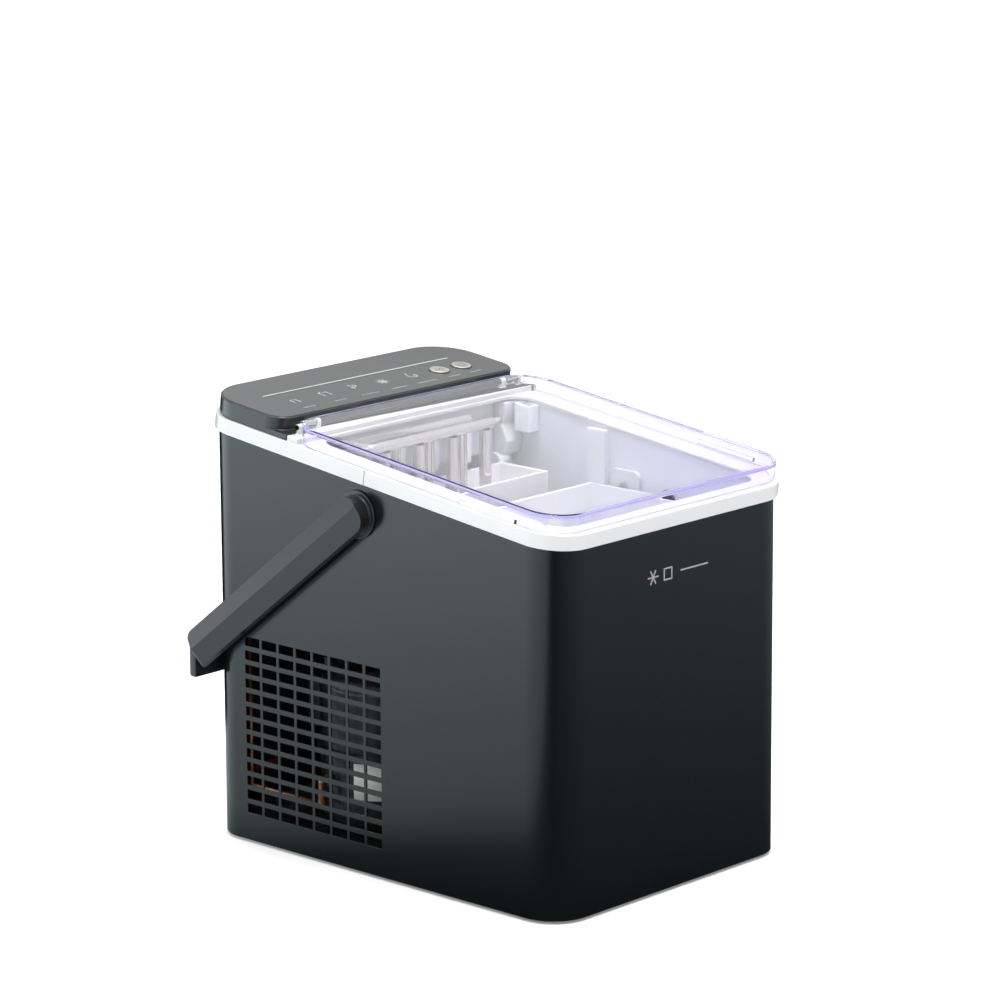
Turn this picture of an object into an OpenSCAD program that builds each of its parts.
// Countertop ice maker with a sloping top, a clear lid and a carrying handle.
// Front faces -Y, up is +Z, the object stands on Z = 0.

/* [Casing] */
// Width of the painted shell
body_w = 222; // [210:1:270]
// Depth of the painted shell, front to back
body_d = 307; // [295:1:370]
// Height of the shell at its front edge, from the table
front_h = 236; // [230:1:285]
// Slope of the whole top, down towards the front, in degrees
top_slope = 7; // [5:0.5:9]
// Radius of the shell's upright corners
corner_r = 26; // [18:1:32]
// Thickness of the painted sheet
shell_t = 1.2; // [0.8:0.1:2]
// Gap under the shell, which is the height of the rubber feet
foot_gap = 2; // [1:0.5:6]
// Diameter of a rubber foot
foot_d = 22; // [16:1:30]

/* [Rim] */
// Height of the white rim band that caps the shell
rim_h = 10; // [8:0.5:12]
// How far the rim stands out past the shell
rim_over = 2.5; // [1:0.5:4]
// Wall thickness of the white mouldings
rim_t = 2.5; // [2:0.5:3.5]
// Where the front and rear rim pieces meet, along the slope from the front
rim_seam = 161; // [130:1:190]

/* [Lid] */
// Height of the clear lid above the rim
lid_h = 12; // [11:0.5:14]
// Thickness of the clear plastic
lid_t = 2.2; // [1.6:0.2:2.6]
// Radius of the lid's corners in plan
lid_r = 24; // [14:1:30]
// Length of a lifting ledge on the lid's side
ledge_len = 47; // [30:1:70]

/* [Control panel] */
// Height of the panel above the rim
panel_h = 12.4; // [12:0.1:16]
// Length of the panel along the slope
panel_len = 72; // [62:1:80]
// Radius of the panel's rear corners in plan
panel_r = 30; // [16:1:34]
// Radius of the panel's front corners in plan
panel_front_r = 14; // [8:1:24]
// Diameter of a push button
button_d = 13.5; // [10:0.5:16]
// Travel of a push button
button_travel = 1; // [0.5:0.1:1.5]

/* [Handle] */
// Distance from the body's middle back to the handle's pivot
pivot_y = 13.2; // [4:0.2:24]
// Height of the pivot below the shell's top edge
pivot_drop = 20.5; // [18:0.5:26]
// Distance from the pivot to the middle of the crossbar
handle_len = 186.8; // [184:0.2:230]
// Width of a handle arm
arm_w = 24; // [18:1:26]
// Thickness of a handle arm
arm_t = 9; // [7:0.5:11]
// Radius of the handle's stub shaft
stub_r = 6; // [4:0.5:7]
// Radial clearance of the stub shaft in its bush
stub_gap = 0.06; // [0.02:0.01:0.1]

/* [Grilles] */
// Number of holes along a grille
grille_cols = 8; // [4:1:9]
// Number of holes up a grille
grille_rows = 13; // [6:1:13]
// Distance between columns
grille_px = 15.55; // [12:0.05:16]
// Distance between rows
grille_pz = 9.35; // [8:0.05:9.6]
// Width of the metal between two columns
grille_bar_x = 2.3; // [1.5:0.1:4]
// Height of the metal between two rows
grille_bar_z = 3.4; // [2:0.1:4]

/* [Ice making] */
// Number of cooling fingers in one row
finger_n = 4; // [2:1:4]
// Distance between fingers
finger_pitch = 31; // [26:1:31]
// Diameter of a finger
finger_d = 8; // [6:0.5:10]
// Length of a finger below its pipe
finger_len = 46; // [38:1:48]
// How far the water tray tilts, in degrees
tray_tilt = 80; // [40:5:80]

/* [Fan] */
// Diameter of the fan wheel
fan_d = 100; // [80:2:104]
// Number of fan blades
fan_blades = 5; // [3:1:7]

/* [Hidden] */
$fn = 48;
far = 400;
ball = 1.06;
front_y = -body_d / 2;
back_y = body_d / 2;
side_x = body_w / 2;
in_x = side_x - shell_t;
slope_len = body_d / cos(top_slope);
shell_top_max = front_h + body_d * tan(top_slope);

// height of the shell's sloping top edge above a place y
function top_z(y) = front_h + (y - front_y) * tan(top_slope);

// lid and panel, in the sloping frame (x, s along the slope, h above the shell's edge)
lid_top = rim_h + lid_h;
lid_half = side_x + 0.5;
lid_front = 2;
panel_top = rim_h + panel_h;
panel_half = side_x + 1;
panel_back = slope_len + rim_over - 0.8;
panel_front = panel_back - panel_len;
ledge_h = 3.5;
hinge_s = panel_front - 8;
hinge_h = rim_h + 7.5;
hinge_r = 3.2;
ear_r = 2.1;
ear_air = 0.8;
hinge_x = side_x - 22;
hinge_barrel = 10;
ear_t = 4.5;
pin_r = 1.25;
pin_gap = 0.05;
lid_back = hinge_s + 2;
block_front = hinge_s - 9;
block_back = panel_front - 7.2;
skirt_lift = 0.2;

// tub: the basket well, the reservoir under it and the tray pocket behind it
tub_t = 2;
tub_x = side_x - 16;
well_front = front_y + 11.5;
well_back = 0;
pocket_back = 97;
well_floor = 76;
pocket_floor = 172;
partition_top = 222;
deck_back_y = 66;
curtain_y = 75;
curtain_z = 240;
deck_open_x = tub_x - 1;
deck_open_front = 13;
deck_open_back = (deck_back_y - front_y) / cos(top_slope);
flange_h = rim_h - rim_t - 0.2;
flange_r = corner_r - 12;
deck_r = 14;
pillar_w = 16;
pillar_t = 5;

// water tray and ice shovel
axis_y = 68;
axis_z = 230;
tray_front = 22;
tray_back = 64;
tray_floor = 206;
tray_t = 2;
tray_left = -tub_x + 16;
tray_right = tub_x - 20;
trunnion_r = 4;
run_gap = 0.06;
shovel_y = 70;
shovel_z = 257;
shovel_r = 2;
shovel_len = 24;
shovel_t = 3;
tine_w = 11;
housing_right = tub_x - 16;
housing_left = -tub_x + 12;

// evaporator
row_front = 38;
row_back = 56;
pipe_r = 3.5;
pipe_z = 266;
finger_x0 = -61;
row_shift = -4;

// basket
basket_x = tub_x - 6;
basket_front = well_front + 3;
basket_back = well_back - 3;
basket_floor = 136;
basket_top = partition_top + 2;
basket_t = 2;

// drain, in the right wall near the front
drain_y = front_y + 54;
drain_z = well_floor + 12;
spout_r = 8;
spout_bore = 5.5;
plug_gap = 0.05;
plug_head_r = 12;
plug_head_t = 3;

// machine bay under and behind the tray pocket
comp_x = -50;
comp_y = 52;
comp_r = 42;
comp_z0 = foot_gap + 12;
comp_h = 108;
stub_out = [24, -20];
stub_in = [-20, 30];
low_stub = [8, 36];
stub_t = 4;
stub_up = 2;
cond_x0 = 34;
cond_x1 = 54;
cond_y0 = 18;
cond_y1 = 110;
cond_z0 = 22;
cond_z1 = 138;
fin_n = 22;
tube_rows = 8;
fan_y = 56.7;
fan_z = 80;
fan_x0 = side_x - 24;
fan_depth = 12;
fan_hub_r = 17;
duct_gap = 2;
shroud_half = 54;
motor_x0 = fan_x0 - 20;
grille_back = 119;
grille_z0 = 19;

// handle, at rest behind the body
arm_x0 = side_x + rim_over + 1;
arm_x1 = arm_x0 + arm_t;
pivot_z = top_z(pivot_y) - pivot_drop;
bar_in_y = back_y + 2.2;
bar_t = 9.6;
bar_mid_y = bar_in_y + bar_t / 2;
rest_angle = acos((bar_mid_y - pivot_y) / handle_len);
bar_mid_z = pivot_z - handle_len * sin(rest_angle);
bar_h = 30;
bar_out_y = bar_in_y + bar_t;
bar_lug = 8;
arm_end = handle_len - 2.5;
arm_end_r = 10;
ring_r = 15.5;

// the whole object is centred on Y = 0: from the rim's front edge to the handle's crossbar
reach_front = front_y - rim_over * cos(top_slope) - rim_h * sin(top_slope);
y_shift = -(reach_front + bar_out_y) / 2;

// ---- helpers ----

// puts a piece drawn about the body's middle into the object's frame
module placed() {
    translate([0, y_shift, 0]) children();
}

// sloping frame: x across, y along the slope from the shell's front edge, z up from its top edge
module sloped() {
    translate([0, front_y, front_h]) rotate([top_slope, 0, 0]) children();
}

// rounded rectangle from two corners, with true arcs
module plan(x0, x1, y0, y1, r) {
    translate([x0 + r, y0]) square([x1 - x0 - 2 * r, y1 - y0]);
    translate([x0, y0 + r]) square([x1 - x0, y1 - y0 - 2 * r]);
    for (x = [x0 + r, x1 - r], y = [y0 + r, y1 - r]) translate([x, y]) circle(r);
}

// the same with one radius at the low-Y corners and another at the high-Y corners
module plan_two(x0, x1, y0, y1, r0, r1) {
    translate([x0 + r0, y0]) square([x1 - x0 - 2 * r0, y1 - y0 - r1]);
    translate([x0, y0 + r0]) square([x1 - x0, y1 - y0 - r0 - r1]);
    translate([x0 + r1, y0 + r0]) square([x1 - x0 - 2 * r1, y1 - y0 - r0]);
    for (x = [x0 + r0, x1 - r0]) translate([x, y0 + r0]) circle(r0);
    for (x = [x0 + r1, x1 - r1]) translate([x, y1 - r1]) circle(r1);
}

// block from two opposite corners
module block(a, b) {
    translate(a) cube(b - a);
}

// everything above the sloping plane h
module above(h) {
    sloped() translate([-far / 2, -far / 2, h]) cube([far, 3 * far, far]);
}

// round bar along X
module bar_x(x0, x1, y, z, r) {
    translate([x0, y, z]) rotate([0, 90, 0]) cylinder(h = x1 - x0, r = r);
}

// round bar along Y
module bar_y(y0, y1, x, z, r) {
    translate([x, y0, z]) rotate([-90, 0, 0]) cylinder(h = y1 - y0, r = r);
}

// round pipe through a list of points, with slightly larger brazed balls at the corners
module pipe_run(pts, r) {
    for (i = [0 : len(pts) - 2]) {
        d = pts[i + 1] - pts[i];
        translate(pts[i]) rotate([0, acos(d[2] / norm(d)), atan2(d[1], d[0])])
            cylinder(h = norm(d), r = r);
    }
    for (i = [1 : len(pts) - 2]) translate(pts[i]) sphere(r * ball);
}

// mirrored copy on the other side
module both() {
    children();
    mirror([1, 0, 0]) children();
}

// ---- casing ----

module grille_holes() {
    hole_w = grille_px - grille_bar_x;
    hole_h = grille_pz - grille_bar_z;
    y0 = grille_back - grille_cols * grille_px + grille_bar_x / 2;
    z0 = grille_z0 + grille_bar_z / 2;
    for (i = [0 : grille_cols - 1], j = [0 : grille_rows - 1])
        translate([in_x - 2, y0 + i * grille_px, z0 + j * grille_pz])
            cube([shell_t + 4, hole_w, hole_h]);
}

rear_open_x = side_x - 33;
rear_open_z0 = 22;
rear_open_z1 = 246;
rear_lap = 7;
rear_screw_r = 1.5;
rear_screws = [for (x = [-1, 1], z = [rear_open_z0 - 3.5, (rear_open_z0 + rear_open_z1) / 2,
    rear_open_z1 + 3.5]) [x * (rear_open_x + 3.5), z]];

module outer_shell() {
    color("dimgray") placed() difference() {
        translate([0, 0, foot_gap]) linear_extrude(shell_top_max)
            plan(-side_x, side_x, front_y, back_y, corner_r);
        translate([0, 0, foot_gap - 1]) linear_extrude(shell_top_max + 2)
            plan(-in_x, in_x, front_y + shell_t, back_y - shell_t, corner_r - shell_t);
        above(0);
        both() grille_holes();
        bar_x(-far, far, pivot_y, pivot_z, stub_r + 1);
        bar_x(0, far, drain_y, drain_z, spout_r + 0.5);
        block([-rear_open_x, back_y - 5, rear_open_z0], [rear_open_x, back_y + 5, rear_open_z1]);
        for (p = rear_screws) bar_y(back_y - 5, back_y + 5, p[0], p[1], rear_screw_r + 0.1);
    }
}

gland_x = -62;
gland_z = 40;
gland_r = 8;
louvre_n = 9;
louvre_w = 46;
louvre_slot = 3;
louvre_pitch = 9;
louvre_z = 150;
louvre_apart = 6;

module rear_panel() {
    rear_panel_t = 1;
    color("gray") placed() difference() {
        translate([0, back_y + rear_panel_t, 0]) rotate([90, 0, 0]) linear_extrude(rear_panel_t)
            plan(-rear_open_x - rear_lap, rear_open_x + rear_lap, rear_open_z0 - rear_lap,
                rear_open_z1 + rear_lap, 6);
        for (p = rear_screws) bar_y(back_y - 1, back_y + 5, p[0], p[1], rear_screw_r + 0.1);
        bar_y(back_y - 1, back_y + 5, gland_x, gland_z, gland_r);
        for (i = [0 : louvre_n - 1], x = [-louvre_w - louvre_apart, louvre_apart])
            translate([x, back_y - 1, louvre_z + i * louvre_pitch])
                cube([louvre_w, 6, louvre_slot]);
    }
}

module casing_screws() {
    color("silver") placed() for (p = rear_screws) {
        bar_y(back_y - 4, back_y + 1, p[0], p[1], rear_screw_r);
        difference() {
            bar_y(back_y + 1, back_y + 2, p[0], p[1], 3);
            block([p[0] - 2, back_y + 1.5, p[1] - 0.4], [p[0] + 2, back_y + 3, p[1] + 0.4]);
            block([p[0] - 0.4, back_y + 1.5, p[1] - 2], [p[0] + 0.4, back_y + 3, p[1] + 2]);
        }
    }
}

pan_t = 1.5;
pan_lip = 12;
pan_gap = 0.2;
foot_neck_r = 4;
foot_x = side_x - 30;
foot_y = body_d / 2 - 30;

module base_pan() {
    x = in_x - pan_gap;
    color("silver") placed() difference() {
        translate([0, 0, foot_gap]) linear_extrude(pan_lip)
            plan(-x, x, front_y + shell_t + pan_gap, back_y - shell_t - pan_gap, corner_r - shell_t);
        translate([0, 0, foot_gap + pan_t]) linear_extrude(pan_lip)
            plan(-x + pan_t, x - pan_t, front_y + shell_t + pan_gap + pan_t,
                back_y - shell_t - pan_gap - pan_t, corner_r - shell_t - pan_t);
        for (fx = [-foot_x, foot_x], fy = [-foot_y, foot_y])
            translate([fx, fy, 0]) cylinder(h = 20, r = foot_neck_r);
    }
}

module rubber_feet() {
    color("black") placed() for (fx = [-foot_x, foot_x], fy = [-foot_y, foot_y])
        translate([fx, fy, 0]) {
            cylinder(h = foot_gap, r = foot_d / 2);
            cylinder(h = foot_gap + pan_t, r = foot_neck_r);
            translate([0, 0, foot_gap + pan_t]) cylinder(h = 2, r = foot_neck_r + 2);
        }
}

module cord_gland() {
    bore = 3.6;
    color("black") placed() difference() {
        union() {
            bar_y(back_y - 4, back_y + 1, gland_x, gland_z, gland_r);
            bar_y(back_y + 1, back_y + 4, gland_x, gland_z, gland_r + 3);
            bar_y(back_y + 4, back_y + 10, gland_x, gland_z, gland_r - 2);
            bar_y(back_y - 8, back_y - 2, gland_x, gland_z, gland_r + 2);
        }
        bar_y(back_y - 20, back_y + 20, gland_x, gland_z, bore);
    }
}

// generic mark on the front: a cube outline, a six-rayed star and a rule
mark_t = 0.3;
mark_z = front_h - 30;
mark_size = 10;

module front_mark() {
    line = 0.9;
    color("silver") placed() translate([0, front_y, mark_z]) rotate([90, 0, 0])
        linear_extrude(mark_t) {
            translate([-22, 0]) for (a = [0 : 60 : 120]) rotate(a)
                square([mark_size, line], center = true);
            translate([-8, 0]) difference() {
                square(mark_size * 0.8, center = true);
                square(mark_size * 0.8 - 2 * line, center = true);
            }
            translate([4, -line / 2]) square([26, line]);
        }
}

// ---- rim and tub ----

module rim_body() {
    x = side_x + rim_over;
    s0 = -rim_over;
    s1 = slope_len + rim_over;
    r = corner_r + 2;
    difference() {
        union() {
            linear_extrude(rim_h) plan(-x, x, s0, s1, r);
            translate([0, 0, -5]) linear_extrude(6)
                plan(-in_x + 1, in_x - 1, shell_t + 2, slope_len - shell_t - 2, corner_r - 2);
            translate([0, 0, rim_h - 1]) linear_extrude(ledge_h + 1)
                plan(-side_x - 1, side_x + 1, block_front, block_back, 1);
        }
        translate([0, 0, -6]) linear_extrude(rim_h - rim_t + 6)
            plan(-in_x + 1 + rim_t, in_x - 1 - rim_t, shell_t + 2 + rim_t,
                slope_len - shell_t - 2 - rim_t, corner_r - 2 - rim_t);
        translate([0, 0, -10]) linear_extrude(40)
            plan(-deck_open_x, deck_open_x, deck_open_front, deck_open_back, deck_r);
        // wire passage under the panel, and the bites in the inner skirt for the handle bushes
        translate([-20, panel_front + 20, 0]) cube([40, 14, 30]);
        both() translate([side_x - 20, (pivot_y - front_y) / cos(top_slope) - ring_r - 6, -6])
            cube([20, 2 * ring_r + 8, 6]);
    }
}

module hinge_ear(x) {
    bar_x(x, x + ear_t, hinge_s, hinge_h, ear_r);
    translate([x, hinge_s - ear_r, rim_h + ledge_h - 1])
        cube([ear_t, ear_r + 0.6, hinge_h - rim_h - ledge_h + 1]);
}

module hinge_bore() {
    bar_x(hinge_x - hinge_barrel, hinge_x + 2 * hinge_barrel, hinge_s, hinge_h, pin_r);
}

module rim_front() {
    color("white") placed() sloped() difference() {
        rim_body();
        translate([-far / 2, rim_seam - 0.15, -20]) cube([far, far, 80]);
    }
}

module rim_rear() {
    color("white") placed() sloped() difference() {
        union() {
            difference() {
                rim_body();
                translate([-far / 2, rim_seam + 0.15 - far, -20]) cube([far, far, 80]);
            }
            both() {
                hinge_ear(hinge_x - ear_t - 0.3);
                hinge_ear(hinge_x + hinge_barrel + 0.3);
            }
        }
        both() hinge_bore();
    }
}

module tub_void() {
    block([-tub_x, well_front, well_floor], [tub_x, well_back, far]);
    block([-tub_x, well_back - 1, partition_top], [tub_x, curtain_y, far]);
    block([-tub_x, well_back + tub_t, pocket_floor], [tub_x, curtain_y, far]);
    block([-tub_x, well_back + tub_t, pocket_floor], [tub_x, pocket_back, curtain_z - 5]);
}

module inner_tub() {
    o = tub_x + tub_t;
    color("whitesmoke") placed() difference() {
        union() {
            difference() {
                union() {
                    block([-o, well_front - tub_t, well_floor - tub_t], [o, well_back + tub_t, far]);
                    block([-o, well_back, pocket_floor - tub_t], [o, curtain_y + tub_t, far]);
                    block([-o, well_back, pocket_floor - tub_t],
                        [o, pocket_back + tub_t, curtain_z - 3]);
                    sloped() translate([0, 0, flange_h - tub_t]) linear_extrude(tub_t)
                        plan(-o - 4, o + 4, deck_open_front - 5, deck_open_back + 9, flange_r);
                }
                above(flange_h);
                tub_void();
            }
            // ledges that carry the basket, and the pillars on the side walls
            for (x = [-1, 1], y = [well_front, well_back - 22])
                block([x > 0 ? tub_x - 8 : -tub_x, y, basket_floor - 6],
                    [x > 0 ? tub_x : -tub_x + 8, y + 22, basket_floor]);
            for (x = [-1, 1]) block([x > 0 ? tub_x - pillar_t : -tub_x, well_back - pillar_w + 2, 170],
                [x > 0 ? tub_x : -tub_x + pillar_t, well_back + 2,
                    top_z(well_back - pillar_w) + flange_h - tub_t / 2]);
            bar_x(tub_x + tub_t / 2, side_x + 1, drain_y, drain_z, spout_r);
        }
        bar_x(tub_x - 1, side_x + 10, drain_y, drain_z, spout_bore);
        // run-back slots, pump outlet, delivery hose, evaporator pipe and motor leads
        for (x = [-50, 0, 50]) block([x - 12, well_back - 1, pocket_floor + 2],
            [x + 12, well_back + tub_t + 1, pocket_floor + 8]);
        translate([outlet_x, outlet_y, well_floor - 10]) cylinder(h = 20, r = hose_r);
        translate([inlet_x, inlet_y, pocket_floor - 10]) cylinder(h = 20, r = hose_r);
        bar_y(curtain_y - 5, curtain_y + 5, exit_x, pipe_z, pipe_r + 0.3);
    }
}

module foam_insulation() {
    o = tub_x + tub_t + 0.5;
    color("khaki") placed() difference() {
        translate([0, 0, well_floor - 16]) linear_extrude(far)
            plan(-in_x + 0.8, in_x - 0.8, front_y + shell_t + 0.8, back_y, corner_r - shell_t);
        block([-far, well_back - 12, 0], [far, far, far * 2]);
        block([-o, well_front - tub_t - 0.5, well_floor - tub_t - 0.5], [o, far, far * 2]);
        above(-7);
        bar_x(0, far, drain_y, drain_z, spout_r + 0.6);
        translate([outlet_x, outlet_y, 0]) cylinder(h = far, r = hose_r + 0.5);
    }
}

module drain_plug() {
    color("black") placed() {
        bar_x(side_x + 1.8, side_x + 1.8 + plug_head_t, drain_y, drain_z, plug_head_r);
        bar_x(side_x - 10, side_x + 2, drain_y, drain_z, spout_bore - plug_gap);
    }
}

module drain_seal() {
    color("dimgray") placed() difference() {
        bar_x(side_x + 1, side_x + 1.8, drain_y, drain_z, spout_r);
        bar_x(side_x, side_x + 5, drain_y, drain_z, spout_bore);
    }
}

// ---- lid ----

module lid() {
    x = lid_half;
    plate_h = lid_top - lid_t;
    color("lavender", 0.4) placed() sloped() difference() {
        union() {
            difference() {
                translate([0, 0, rim_h + skirt_lift]) linear_extrude(lid_h - skirt_lift)
                    plan(-x, x, lid_front, lid_back, lid_r);
                translate([0, 0, rim_h - 1]) linear_extrude(plate_h - rim_h + 1)
                    plan(-x + lid_t, x - lid_t, lid_front + lid_t, lid_back - 1.6, lid_r - lid_t);
                translate([-far / 2, block_front - 0.6, 0]) cube([far, 40, rim_h + 4.6]);
            }
            // lifting ledges
            for (sx = [-1, 1]) translate([sx > 0 ? x - 1 : -x - 2.4, lid_front + 31, rim_h + 0.6])
                cube([3.4, ledge_len, 3]);
            both() {
                bar_x(hinge_x, hinge_x + hinge_barrel, hinge_s, hinge_h, hinge_r);
                translate([hinge_x, hinge_s - hinge_r, hinge_h])
                    cube([hinge_barrel, hinge_r + 1.6, plate_h - hinge_h + 1]);
            }
        }
        both() {
            bar_x(hinge_x - 1, hinge_x + hinge_barrel + 1, hinge_s, hinge_h, pin_r + pin_gap);
            for (ex = [hinge_x - ear_t - ear_air, hinge_x + hinge_barrel])
                translate([ex, hinge_s - hinge_r - ear_air, 0])
                    cube([ear_t + ear_air, 20, plate_h]);
        }
    }
}

module lid_pins() {
    color("silver") placed() sloped() both()
        bar_x(hinge_x - ear_t - 0.3, hinge_x + hinge_barrel + ear_t + 0.3, hinge_s, hinge_h, pin_r);
}

// ---- handle ----

// side profile of an arm, from the pivot to its straight-cut end, with the upper corner rounded
module arm_profile(low) {
    high = arm_w / 2;
    translate([0, -low]) square([arm_end - arm_end_r, low + high]);
    translate([0, -low]) square([arm_end, low + high - arm_end_r]);
    translate([arm_end - arm_end_r, high - arm_end_r]) circle(arm_end_r);
}

// stands a side profile up along the arm's own line
module along_arm(x0, x1) {
    translate([x0, pivot_y, pivot_z]) rotate([-rest_angle, 0, 0]) rotate([90, 0, 90])
        linear_extrude(x1 - x0) children();
}

module crossbar() {
    translate([0, 0, bar_mid_z - bar_h / 2]) linear_extrude(bar_h) difference() {
        plan(-arm_x1, arm_x1, bar_in_y - 3 * bar_lug, bar_out_y, bar_t);
        translate([-arm_x0, bar_in_y - far]) square([2 * arm_x0, far]);
        translate([-far, bar_in_y - bar_lug - far]) square([2 * far, far]);
    }
}

module handle_bail() {
    corner_x = arm_x0 - bar_lug;
    color("dimgray") placed() {
        both() along_arm(arm_x0, arm_x1) {
            circle(arm_w / 2);
            arm_profile(arm_w / 2);
        }
        intersection() {
            crossbar();
            block([-corner_x, 0, 0], [corner_x, far, far]);
        }
        both() intersection() {
            crossbar();
            block([corner_x - 0.1, 0, 0], [far, far, far]);
            along_arm(corner_x - 1, arm_x1 + 1) arm_profile(arm_w);
        }
        both() bar_x(tub_x + 3.5, arm_x0 + 1, pivot_y, pivot_z, stub_r);
    }
}

module handle_washers() {
    color("gray") placed() both() difference() {
        union() {
            bar_x(side_x, side_x + 1.9, pivot_y, pivot_z, ring_r);
            bar_x(side_x, side_x + 3, pivot_y, pivot_z, ring_r - 3);
        }
        bar_x(side_x - 5, side_x + 10, pivot_y, pivot_z, stub_r + stub_gap);
    }
}

module handle_bushes() {
    color("gray") placed() both() difference() {
        union() {
            bar_x(tub_x + 6, in_x, pivot_y, pivot_z, ring_r - 4);
            bar_x(in_x - 2, in_x, pivot_y, pivot_z, ring_r - 2);
        }
        bar_x(tub_x, side_x, pivot_y, pivot_z, stub_r + stub_gap);
    }
}

module handle_clips() {
    color("silver") placed() both() difference() {
        bar_x(tub_x + 4.2, tub_x + 5.6, pivot_y, pivot_z, stub_r + 3);
        bar_x(tub_x, side_x, pivot_y, pivot_z, stub_r);
        block([tub_x, pivot_y - 3, pivot_z - 20], [side_x, pivot_y + 3, pivot_z]);
    }
}

// ---- ice making ----

exit_x = finger_x0 - 13;

function finger_x(i) = finger_x0 + i * finger_pitch;

module evaporator_pipes() {
    last = finger_x(finger_n - 1) + 6;
    color("silver") placed() {
        bar_x(exit_x, last, row_front, pipe_z, pipe_r);
        bar_x(exit_x, last + row_shift, row_back, pipe_z, pipe_r);
        bar_y(row_front, pocket_back + 14, exit_x, pipe_z, pipe_r);
        translate([exit_x, row_front, pipe_z]) sphere(pipe_r);
        translate([last, row_front, pipe_z]) sphere(pipe_r);
        translate([last + row_shift, row_back, pipe_z]) sphere(pipe_r);
    }
}

module evaporator_fingers() {
    r = finger_d / 2;
    color("gainsboro") placed() for (i = [0 : finger_n - 1], b = [0, 1])
        translate([finger_x(i) + b * row_shift, b ? row_back : row_front, pipe_z]) difference() {
            translate([0, 0, -finger_len - pipe_r]) {
                translate([0, 0, r]) cylinder(h = finger_len - r, r = r);
                translate([0, 0, r]) sphere(r);
            }
            bar_x(-20, 20, 0, 0, pipe_r);
        }
}

module tray_section(inset) {
    r = 10;
    translate([tray_front + inset, tray_floor + inset + r - inset])
        square([tray_back - tray_front - 2 * inset, axis_z - tray_floor - r + inset * 20]);
    translate([tray_front + r, tray_floor + inset])
        square([tray_back - tray_front - 2 * r, r]);
    for (y = [tray_front + r, tray_back - r]) translate([y, tray_floor + r]) circle(r - inset);
}

module water_tray() {
    color("white") placed() {
        difference() {
            translate([tray_left, 0, 0]) rotate([90, 0, 90]) linear_extrude(tray_right - tray_left)
                tray_section(0);
            translate([tray_left + 3, 0, 0]) rotate([90, 0, 90])
                linear_extrude(tray_right - tray_left - 6) tray_section(tray_t);
        }
        for (x = [tray_left, tray_right - 3]) {
            bar_x(x, x + 3, axis_y, axis_z, trunnion_r + 2);
            block([x, tray_back - 3, axis_z - 6], [x + 3, axis_y, axis_z]);
        }
        bar_x(housing_left - 4, tray_left + 1, axis_y, axis_z, trunnion_r);
        bar_x(tray_right - 1, housing_right + 5, axis_y, axis_z, trunnion_r);
    }
}

// side housings of the tray, with the moulded step in their front edge
module housing(x0, x1) {
    top = flange_h;
    difference() {
        translate([x0, 0, 0]) rotate([90, 0, 90]) linear_extrude(x1 - x0)
            polygon([[73, 190], [73, 212], [62, 243], [67, 254], [64, 262], [64, far],
                [curtain_y - 0.3, far], [curtain_y - 0.3, curtain_z - 6],
                [pocket_back - 1, curtain_z - 6], [pocket_back - 1, 190]]);
        above(top - 1);
        bar_x(x0 - 1, x1 + 1, axis_y, axis_z, trunnion_r + run_gap);
        bar_x(x0 - 1, x1 + 1, shovel_y, shovel_z, shovel_r + run_gap);
    }
}

module gear_housing() {
    color("lightgray") placed() difference() {
        housing(housing_right, tub_x - 0.3);
        block([housing_right + 3, 74, 195], [tub_x - 2, pocket_back - 4, 228]);
    }
}

module idler_housing() {
    color("lightgray") placed() housing(-tub_x + 0.3, housing_left);
}

module tray_motor() {
    color("silver") placed() {
        block([housing_right + 4, 75, 197], [tub_x - 4, pocket_back - 6, 226]);
        bar_x(housing_right + 3, housing_right + 5, 83, 212, 8);
    }
}

module ice_shovel() {
    gap = finger_pitch / 2 + row_shift / 2;
    color("whitesmoke") placed() {
        bar_x(housing_left - 4, housing_right + 4, shovel_y, shovel_z, shovel_r);
        for (i = [0 : finger_n - 1])
            block([finger_x(i) + gap - tine_w / 2, shovel_y - shovel_t / 2, shovel_z - shovel_len],
                [finger_x(i) + gap + tine_w / 2, shovel_y + shovel_t / 2, shovel_z]);
    }
}

module corner_housing() {
    x = tub_x - 10.4;
    color("white", 0.6) placed() difference() {
        block([x, 48, 250], [tub_x - 0.2, 61, far]);
        block([x + 1.6, 49.6, 251.6], [tub_x - 1.8, 59.4, far * 2]);
        above(flange_h - 0.5);
    }
}

bracket_y0 = -42;
bracket_y1 = -17;
bracket_z0 = 200;
bracket_z1 = 235;
screw_y = -29;
screw_z = 224;

module sensor_bracket() {
    color("white") placed() difference() {
        translate([tub_x, 0, 0]) rotate([90, 0, -90]) linear_extrude(3) {
            difference() {
                plan(-bracket_y1, -bracket_y0, bracket_z0, bracket_z1, 5);
                translate([-screw_y, screw_z]) circle(1.6);
            }
        }
    }
}

module bracket_screw() {
    color("silver") placed() difference() {
        union() {
            bar_x(tub_x - 5, tub_x - 3, screw_y, screw_z, 3.2);
            bar_x(tub_x - 3.5, tub_x, screw_y, screw_z, 1.5);
        }
        block([tub_x - 6, screw_y - 0.5, screw_z - 2.4], [tub_x - 4, screw_y + 0.5, screw_z + 2.4]);
        block([tub_x - 6, screw_y - 2.4, screw_z - 0.5], [tub_x - 4, screw_y + 2.4, screw_z + 0.5]);
    }
}

module sensor_eyes() {
    color("dimgray") placed() both() bar_x(tub_x - 2, tub_x, -65, 222, 5);
}

// ---- basket and scoop ----

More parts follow.
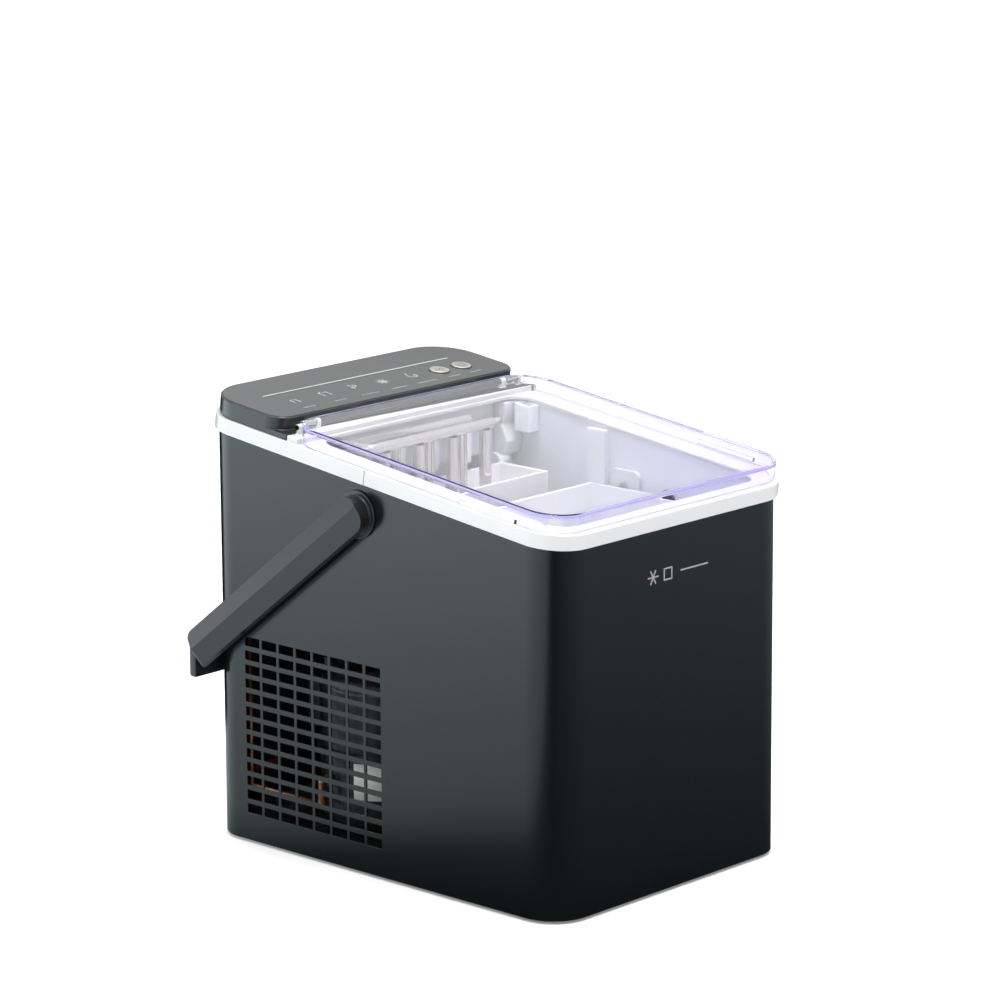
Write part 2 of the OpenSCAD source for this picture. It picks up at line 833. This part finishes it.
module ice_basket() {
    n = 5;
    step = (2 * basket_x - 24) / n;
    color("white") placed() difference() {
        block([-basket_x, basket_front, basket_floor], [basket_x, basket_back, basket_top]);
        block([-basket_x + basket_t, basket_front + basket_t, basket_floor + basket_t],
            [basket_x - basket_t, basket_back - basket_t, far]);
        // drip slots in the floor and the finger holes in the two ends
        for (i = [0 : n - 1])
            block([-basket_x + 14 + i * step, basket_front + 14, basket_floor - 1],
                [-basket_x + 14 + (i + 0.5) * step, basket_back - 14, basket_floor + 5]);
        for (x = [-basket_x - 1, basket_x - 5])
            block([x, basket_front + 45, basket_top - 20], [x + 6, basket_front + 85, basket_top - 8]);
    }
}

scoop_w = 56;
scoop_l = 66;
scoop_h = 26;
scoop_x = -30;
scoop_y = -100;
scoop_z = basket_floor + basket_t;

module ice_scoop() {
    t = 2;
    color("lightcyan", 0.5) placed() translate([scoop_x, scoop_y, scoop_z]) {
        difference() {
            cube([scoop_l, scoop_w, scoop_h]);
            translate([t, t, t]) cube([scoop_l, scoop_w - 2 * t, scoop_h]);
            translate([scoop_l, -1, t]) rotate([0, -50, 0]) cube([60, scoop_w + 2, 60]);
        }
        translate([-46 + t, scoop_w / 2 - 8, scoop_h - 8]) {
            difference() {
                cube([46, 16, 6]);
                translate([4, 2, -1]) cube([38, 12, 5]);
            }
        }
    }
}

// ---- water circuit ----

hose_r = 4;
outlet_x = 40;
outlet_y = -50;
inlet_x = 22;
inlet_y = 60;
pump_r = 17;
pump_z = foot_gap + pan_t + 4 + pump_r;

module water_pump() {
    color("gray") placed() {
        bar_y(outlet_y + 12, outlet_y + 44, outlet_x, pump_z, pump_r);
        bar_y(outlet_y + 6, outlet_y + 12, outlet_x, pump_z, pump_r - 5);
        block([outlet_x - 14, outlet_y + 16, foot_gap + pan_t],
            [outlet_x + 14, outlet_y + 40, pump_z - 8]);
    }
}

module suction_hose() {
    color("whitesmoke") placed() difference() {
        pipe_run([[outlet_x, outlet_y, well_floor - tub_t + 1], [outlet_x, outlet_y, pump_z],
            [outlet_x, outlet_y + 6, pump_z]], hose_r);
        translate([outlet_x, outlet_y, pump_z + 6]) cylinder(h = far, r = hose_r - 1.2);
    }
}

module delivery_hose() {
    riser_y = 8;
    top = pocket_floor - 14;
    color("whitesmoke") placed() pipe_run([[outlet_x, outlet_y + 44, pump_z],
        [outlet_x, outlet_y + 49, pump_z], [inlet_x, outlet_y + 49, pump_z],
        [inlet_x, riser_y, pump_z], [inlet_x, riser_y, top], [inlet_x, inlet_y, top],
        [inlet_x, inlet_y, pocket_floor + 1]], hose_r);
}

// ---- cooling circuit ----

module compressor() {
    h = comp_h;
    r = comp_r;
    dome = 14;
    color("black") placed() translate([comp_x, comp_y, comp_z0]) {
        rotate_extrude() {
            translate([0, dome]) square([r, h - 2 * dome]);
            square([r - dome, h]);
            for (z = [dome, h - dome]) translate([r - dome, z]) circle(dome);
        }
        translate([0, 0, h / 2 - 2]) cylinder(h = 4, r = r + 2);
        translate([0, 0, -4]) cylinder(h = 6, r = r - 16);
        // pipe stubs
        for (p = [stub_out, stub_in])
            translate([p[0], p[1], h - dome]) cylinder(h = dome + stub_up, r = stub_t);
        bar_x(-r - stub_up, -r + dome, low_stub[0], low_stub[1], stub_t);
    }
}

module compressor_feet() {
    z0 = foot_gap + pan_t;
    plate_z = comp_z0 - 6;
    lug = comp_r + 6;
    color("dimgray") placed() translate([comp_x, comp_y, 0]) {
        difference() {
            translate([-lug, -lug + 14, plate_z]) cube([2 * lug, 2 * lug - 28, 2]);
            for (x = [-1, 1], y = [-1, 1])
                translate([x * (lug - 7), y * (lug - 21), plate_z - 1]) cylinder(h = 4, r = 3);
        }
        for (x = [-1, 1], y = [-1, 1]) translate([x * (lug - 7), y * (lug - 21), 0]) {
            translate([0, 0, z0]) cylinder(h = plate_z - z0, r = 6);
            translate([0, 0, z0]) cylinder(h = plate_z - z0 + 5, r = 3);
        }
    }
}

module compressor_label() {
    color("white") placed() translate([comp_x, comp_y, comp_z0 + 26]) rotate([0, 0, 196])
        rotate_extrude(angle = 44) translate([comp_r, 0]) square([0.5, 24]);
}

terminal_z = 58;
terminal_w = 34;
terminal_h = 32;

module terminal_cover() {
    color("black") placed() difference() {
        translate([comp_x - 14, comp_y + comp_r - 8, comp_z0 + terminal_z])
            cube([terminal_w, 22, terminal_h]);
        translate([comp_x, comp_y, 0]) cylinder(h = 200, r = comp_r);
    }
}

cond_pitch = (cond_z1 - cond_z0) / tube_rows;
cond_mid = (cond_x0 + cond_x1) / 2;
tube_r = 3;

function tube_z(i) = cond_z0 + cond_pitch * (i + 0.5);

module condenser_fins() {
    step = (cond_y1 - cond_y0 - 1) / (fin_n - 1);
    color("silver") placed() difference() {
        union() {
            for (i = [0 : fin_n - 1])
                block([cond_x0, cond_y0 + i * step, cond_z0], [cond_x1, cond_y0 + i * step + 1, cond_z1]);
            for (x = [cond_x0, cond_x1 - 1])
                block([x, cond_y0, cond_z0 - 1], [x + 1, cond_y1, cond_z0]);
            for (y = [cond_y0, cond_y1 - 1])
                block([cond_x0, y, foot_gap + pan_t], [cond_x1, y + 1, cond_z0]);
        }
        for (i = [0 : tube_rows - 1]) bar_y(0, 200, cond_mid, tube_z(i), tube_r);
    }
}

module condenser_coil() {
    bend_r = cond_pitch / 2;
    color("orange") placed() {
        for (i = [0 : tube_rows - 1])
            bar_y(cond_y0 - 4, cond_y1 + 4, cond_mid, tube_z(i), tube_r);
        for (i = [0 : tube_rows - 2])
            translate([cond_mid, i % 2 ? cond_y0 - 4 : cond_y1 + 4, tube_z(i) + bend_r])
                rotate([i % 2 ? 180 : 0, 0, 0]) rotate([0, -90, 0]) bend(bend_r, tube_r);
    }
}

// half a ring of pipe, bulging towards +Y
module bend(r, t) {
    rotate_extrude(angle = 180) translate([r, 0]) circle(t);
}

module fan_shroud() {
    x1 = in_x - 2;
    ring = fan_d / 2 + duct_gap;
    color("dimgray") placed() difference() {
        union() {
            block([fan_x0 - 3, fan_y - shroud_half, fan_z - shroud_half],
                [fan_x0, fan_y + shroud_half, fan_z + shroud_half]);
            bar_x(fan_x0 - 3, x1, fan_y, fan_z, ring + 2);
            block([fan_x0 - 3, fan_y - shroud_half, foot_gap + pan_t],
                [fan_x0, fan_y + shroud_half, fan_z - shroud_half]);
            // motor spider
            for (a = [0, 60, 120]) translate([fan_x0 - 7, fan_y, fan_z]) rotate([a, 0, 0])
                translate([0, -ring - 1, -3]) cube([5, 2 * ring + 2, 6]);
        }
        difference() {
            bar_x(fan_x0 - 1.99, far, fan_y, fan_z, ring);
            bar_x(0, fan_x0 - 2, fan_y, fan_z, ring);
        }
        difference() {
            bar_x(fan_x0 - 4, fan_x0 - 1, fan_y, fan_z, ring);
            for (a = [0, 60, 120]) translate([fan_x0 - 7, fan_y, fan_z]) rotate([a, 0, 0])
                translate([0, -ring - 1, -3]) cube([5, 2 * ring + 2, 6]);
        }
        bar_x(0, far, fan_y, fan_z, fan_hub_r + 1);
    }
}

module fan_motor() {
    color("silver") placed() {
        bar_x(motor_x0, fan_x0 - 1, fan_y, fan_z, fan_hub_r);
        bar_x(fan_x0 - 7, fan_x0 - 2, fan_y, fan_z, fan_hub_r + 1);
        bar_x(fan_x0 - 2, fan_x0 + fan_depth - 2, fan_y, fan_z, 2);
    }
}

module fan_wheel() {
    x0 = fan_x0 + 1;
    color("gainsboro") placed() difference() {
        union() {
            bar_x(x0, x0 + fan_depth, fan_y, fan_z, fan_hub_r);
            intersection() {
                for (i = [0 : fan_blades - 1]) translate([x0 + fan_depth / 2, fan_y, fan_z])
                    rotate([i * 360 / fan_blades, 0, 0]) rotate([0, 0, 24])
                        translate([-1, -20, 10]) cube([2, 40, fan_d]);
                bar_x(x0, x0 + fan_depth, fan_y, fan_z, fan_d / 2);
            }
        }
        bar_x(0, x0 + fan_depth - 2, fan_y, fan_z, 2 + run_gap);
    }
}

drier_x = 12;
drier_y = 124;
drier_z = 30;

module filter_drier() {
    color("peru") placed() translate([drier_x, drier_y, drier_z]) {
        cylinder(h = 60, r = 9);
        translate([0, 0, 60]) cylinder(h = 8, r1 = 9, r2 = 3);
        translate([0, 0, -8]) cylinder(h = 8, r1 = 3, r2 = 9);
    }
}

valve_x = -20;
valve_y = 124;
valve_z = 120;

module gas_valve() {
    color("steelblue") placed() {
        block([valve_x - 14, valve_y - 12, valve_z], [valve_x + 14, valve_y + 12, valve_z + 26]);
        translate([valve_x, valve_y, valve_z - 14]) cylinder(h = 48, r = 6);
    }
}

module copper_pipes() {
    r = 2.5;
    top = comp_z0 + comp_h + stub_up;
    side = -side_x + 11;
    low_y = 126;
    exit_y = 140;
    run_x = 20;
    high = top + 26;
    turn_y = cond_y0 - 10;
    low_z = 14;
    loop_z = 34;
    loop_y = comp_y + low_stub[0];
    color("chocolate") placed() {
        // discharge, from the compressor's top to the condenser's top row
        pipe_run([[comp_x + stub_out[0], comp_y + stub_out[1], top],
            [comp_x + stub_out[0], comp_y + stub_out[1], high],
            [cond_mid, comp_y + stub_out[1], high], [cond_mid, turn_y, high],
            [cond_mid, turn_y, tube_z(tube_rows - 1)],
            [cond_mid, cond_y0 - 4, tube_z(tube_rows - 1)]], r);
        // condenser's bottom row to the drier
        pipe_run([[cond_mid, cond_y0 - 4, tube_z(0)], [cond_mid, turn_y, tube_z(0)],
            [cond_mid, turn_y, low_z], [run_x, turn_y, low_z], [run_x, drier_y, low_z],
            [drier_x, drier_y, low_z], [drier_x, drier_y, drier_z - 8]], r);
        // drier to the valve
        pipe_run([[drier_x, drier_y, drier_z + 68], [drier_x, drier_y, drier_z + 72],
            [valve_x, drier_y, drier_z + 72], [valve_x, valve_y, valve_z - 14]], r);
        // valve to the evaporator
        pipe_run([[valve_x, valve_y, valve_z + 34], [valve_x, valve_y, valve_z + 40],
            [valve_x, exit_y, valve_z + 40], [exit_x, exit_y, valve_z + 40],
            [exit_x, exit_y, pipe_z], [exit_x, pocket_back + 14, pipe_z]], r);
        // suction, looping low past the compressor's side
        pipe_run([[comp_x + stub_in[0], comp_y + stub_in[1], top],
            [comp_x + stub_in[0], comp_y + stub_in[1], top + 18],
            [side, comp_y + stub_in[1], top + 18], [side, low_y, top + 18], [side, low_y, loop_z],
            [side, loop_y, loop_z], [side, loop_y, comp_z0 + low_stub[1]],
            [comp_x - comp_r - stub_up, loop_y, comp_z0 + low_stub[1]]], r);
    }
}

// ---- control panel and electrics ----

module panel_cover() {
    t = 2;
    chamfer = 0.8;
    s0 = panel_front;
    s1 = panel_back;
    color("dimgray") placed() sloped() difference() {
        union() {
            translate([0, 0, rim_h]) linear_extrude(panel_h - chamfer)
                plan_two(-panel_half, panel_half, s0, s1, panel_front_r, panel_r);
            translate([0, 0, panel_top - chamfer]) linear_extrude(chamfer)
                plan_two(-panel_half + chamfer, panel_half - chamfer, s0 + chamfer, s1 - chamfer,
                    panel_front_r - chamfer, panel_r - chamfer);
            // low skirt that runs forward to the hinge block
            translate([-panel_half, block_back + 0.3, rim_h])
                cube([2 * panel_half, panel_front + panel_front_r - block_back, ledge_h]);
        }
        translate([0, 0, rim_h - 1]) linear_extrude(panel_h - t + 1)
            plan_two(-panel_half + t, panel_half - t, s0 + t, s1 - t, panel_front_r - t,
                panel_r - t);
        for (x = button_xs) translate([x, button_s, 0]) cylinder(h = 60, r = button_d / 2 + button_gap);
        translate([inlay_x0, inlay_s, panel_top - inlay_sink])
            cube([inlay_x1 - inlay_x0, inlay_w, 2]);
    }
}

inlay_x0 = -87;
inlay_x1 = 85;
inlay_w = 1.4;
inlay_s = panel_front + 40.7;
inlay_sink = 0.4;

module panel_inlay() {
    color("silver") placed() sloped() translate([inlay_x0, inlay_s, panel_top - inlay_sink])
        cube([inlay_x1 - inlay_x0, inlay_w, inlay_sink + 0.1]);
}

button_xs = [58.5, 79.5];
button_s = panel_front + 23.2;
button_gap = 0.25;
board_h = rim_h + 1.6;
board_t = 1.6;
switch_h = 2;

module button(x) {
    cap = panel_top - 3;
    color("silver") placed() sloped() translate([x, button_s, 0]) {
        translate([0, 0, cap]) cylinder(h = 4, r = button_d / 2);
        translate([0, 0, cap - 0.8]) cylinder(h = 0.8, r = button_d / 2 - 1);
        translate([0, 0, board_h + board_t + switch_h + button_travel + 0.1])
            cylinder(h = cap - board_h - board_t - switch_h - button_travel, r = 2);
    }
}

module button_left() {
    button(button_xs[0]);
}

module button_right() {
    button(button_xs[1]);
}

module button_switches() {
    h = board_h + board_t;
    color("dimgray") placed() sloped() for (x = button_xs)
        translate([x - 3, button_s - 3, h]) cube([6, 6, switch_h]);
}

module control_board() {
    color("green") placed() sloped() {
        translate([-90, panel_front + 8, board_h]) cube([182, 48, board_t]);
        for (x = [-84, 84], s = [14, 50])
            translate([x, panel_front + s, rim_h]) cylinder(h = board_h - rim_h, r = 3);
        translate([-30, panel_front + 34, board_h + board_t]) cube([16, 12, 3]);
        for (x = icon_xs) translate([x - 2, panel_front + 25, board_h + board_t]) cube([4, 3, 1]);
    }
}

icon_xs = [-75.5, -47, -19, 6.3, 33.5];

board_y = pocket_back + 10;

power_x0 = -86;
power_x1 = 66;
power_z = 178;
power_h = 66;
post_in = 6;
post_r = 3;
// transformer, two relays and a socket, each as [x, z above the board's edge, wide, tall, deep]
power_parts = [[-70, 10, 30, 30, 22.4], [-30, 8, 18, 16, 16.4], [-30, 32, 18, 16, 16.4],
    [20, 44, 36, 12, 8.4]];
cap_r = 8;
cap_len = 24.4;

module power_board() {
    front = board_y + board_t;
    color("green") placed() {
        block([power_x0, board_y, power_z], [power_x1, front, power_z + power_h]);
        for (x = [power_x0 + post_in, power_x1 - post_in],
            z = [power_z + post_in, power_z + power_h - 2 * post_in])
            bar_y(pocket_back + tub_t, board_y, x, z, post_r);
        for (p = power_parts)
            translate([p[0], front, power_z + p[1]]) cube([p[2], p[4], p[3]]);
        for (x = [8, 28]) bar_y(front, front + cap_len, x, power_z + 22, cap_r);
    }
}

module wire_bundle() {
    r = 3;
    lead_y = back_y - 14;
    lead_x = -side_x + 15;
    up_y = board_y + 11;
    color("red") placed() {
        pipe_run([[gland_x, back_y - 7, gland_z], [gland_x, lead_y, gland_z],
            [lead_x, lead_y, gland_z], [lead_x, lead_y, 210], [-84, lead_y, 210],
            [-84, board_y + board_t, 210]], r);
        pipe_run([[60, board_y + board_t, 236], [60, up_y, 236], [60, up_y, 256], [0, up_y, 256],
            [0, up_y - 10, 256], [0, up_y - 10, 277]], r);
    }
}

outer_shell();
rear_panel();
casing_screws();
base_pan();
rubber_feet();
cord_gland();
front_mark();
rim_front();
rim_rear();
inner_tub();
foam_insulation();
drain_plug();
drain_seal();
lid();
lid_pins();
handle_bail();
handle_washers();
handle_bushes();
handle_clips();
evaporator_pipes();
evaporator_fingers();
water_tray();
gear_housing();
idler_housing();
tray_motor();
ice_shovel();
corner_housing();
sensor_bracket();
sensor_eyes();
bracket_screw();
ice_basket();
ice_scoop();
water_pump();
suction_hose();
delivery_hose();
compressor();
compressor_feet();
compressor_label();
terminal_cover();
condenser_fins();
condenser_coil();
fan_shroud();
fan_motor();
fan_wheel();
filter_drier();
gas_valve();
copper_pipes();
panel_cover();
panel_inlay();
button_left();
button_right();
button_switches();
control_board();
power_board();
wire_bundle();
